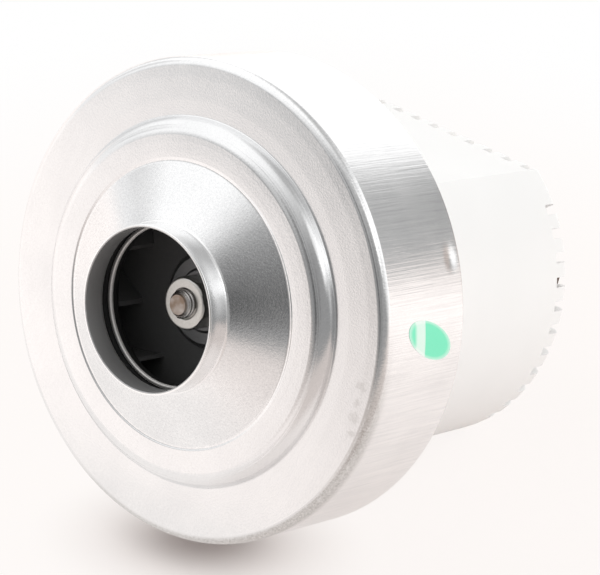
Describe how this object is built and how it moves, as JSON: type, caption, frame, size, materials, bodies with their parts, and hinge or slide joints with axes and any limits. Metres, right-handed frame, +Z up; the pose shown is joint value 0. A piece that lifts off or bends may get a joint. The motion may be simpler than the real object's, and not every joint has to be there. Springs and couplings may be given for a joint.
{
  "type": "vacuum motor unit",
  "caption": "Vacuum cleaner suction motor: a pressed steel fan cover with a round inlet on a white plastic motor housing, with fan, armature and brushes inside.",
  "frame": {"origin": "on the shaft's axis, in the plane of the fan cover's rear edge", "axes": "+Y along the shaft towards the terminals, so the inlet faces -Y; +Z up, square to the housing's two flats; +X towards the right hand brush"},
  "size_m": [0.135, 0.1394, 0.135],
  "materials": {
    "galvanised_steel": "satin",
    "white_plastic": "satin",
    "black_rubber": "matte",
    "dark_plastic": "satin",
    "pressed_steel": "satin",
    "zinc_screws": "satin",
    "bearing_steel": "polished",
    "spring_steel": "satin",
    "lamination_steel": "satin",
    "enamelled_copper": "gloss",
    "bare_copper": "polished",
    "brown_moulding": "satin",
    "brass": "satin",
    "carbon": "matte",
    "fan_lip": "satin",
    "black_fan": "matte",
    "dark_washer": "satin"
  },
  "bodies": {
    "stator": {"fan_cover": "galvanised_steel", "motor_housing": "white_plastic", "inlet_seal": "black_rubber", "rear_bearing_ring": "black_rubber", "diffuser": "dark_plastic", "front_bracket": "pressed_steel", "bracket_screws": "zinc_screws", "diffuser_screws": "zinc_screws", "stator_screws": "zinc_screws", "brush_holder_screws": "zinc_screws", "front_bearing_outer": "bearing_steel", "rear_bearing_outer": "bearing_steel", "wave_washer": "spring_steel", "brush_spring_left": "spring_steel", "brush_spring_right": "spring_steel", "stator_core": "lamination_steel", "field_coil_left": "enamelled_copper", "field_coil_right": "enamelled_copper", "brush_holder_left": "brown_moulding", "brush_holder_right": "brown_moulding", "brush_tube_left": "brass", "brush_tube_right": "brass", "brush_cap_left": "brass", "brush_cap_right": "brass", "terminal_left": "brass", "terminal_right": "brass"},
    "rotor": {"shaft": "bearing_steel", "armature_core": "lamination_steel", "armature_winding": "enamelled_copper", "commutator_hub": "brown_moulding", "commutator_bars": "bare_copper", "front_bearing_inner": "bearing_steel", "rear_bearing_inner": "bearing_steel", "bearing_spacer": "pressed_steel", "backing_washer": "pressed_steel", "impeller_disc": "black_fan", "impeller_blades": "black_fan", "impeller_shroud": "fan_lip", "impeller_washer": "dark_washer", "impeller_nut": "zinc_screws"},
    "front_balls": {"front_bearing_balls": "bearing_steel"},
    "rear_balls": {"rear_bearing_balls": "bearing_steel"},
    "brush_left": {"carbon_brush_left": "carbon"},
    "brush_right": {"carbon_brush_right": "carbon"}
  },
  "joints": [
    {"name": "rotor_spin", "type": "hinge", "parent": "stator", "child": "rotor", "pos_m": [0, 0, 0], "axis": [0, 1, 0], "continuous": true},
    {"name": "front_balls_spin", "type": "hinge", "parent": "stator", "child": "front_balls", "pos_m": [0, 0, 0], "axis": [0, 1, 0], "continuous": true},
    {"name": "rear_balls_spin", "type": "hinge", "parent": "stator", "child": "rear_balls", "pos_m": [0, 0, 0], "axis": [0, 1, 0], "continuous": true},
    {"name": "brush_left_slide", "type": "slide", "parent": "stator", "child": "brush_left", "axis": [-1, 0, 0], "range_m": [0, 0.004], "stiffness_N_per_m": 200, "springref_m": -0.015, "deforming": ["brush_spring_left"]},
    {"name": "brush_right_slide", "type": "slide", "parent": "stator", "child": "brush_right", "axis": [1, 0, 0], "range_m": [0, 0.004], "stiffness_N_per_m": 200, "springref_m": -0.015, "deforming": ["brush_spring_right"]}
  ],
  "couplings": [
    {"joint": "front_balls_spin", "follows": "rotor_spin", "ratio": 0.388},
    {"joint": "rear_balls_spin", "follows": "rotor_spin", "ratio": 0.409}
  ]
}
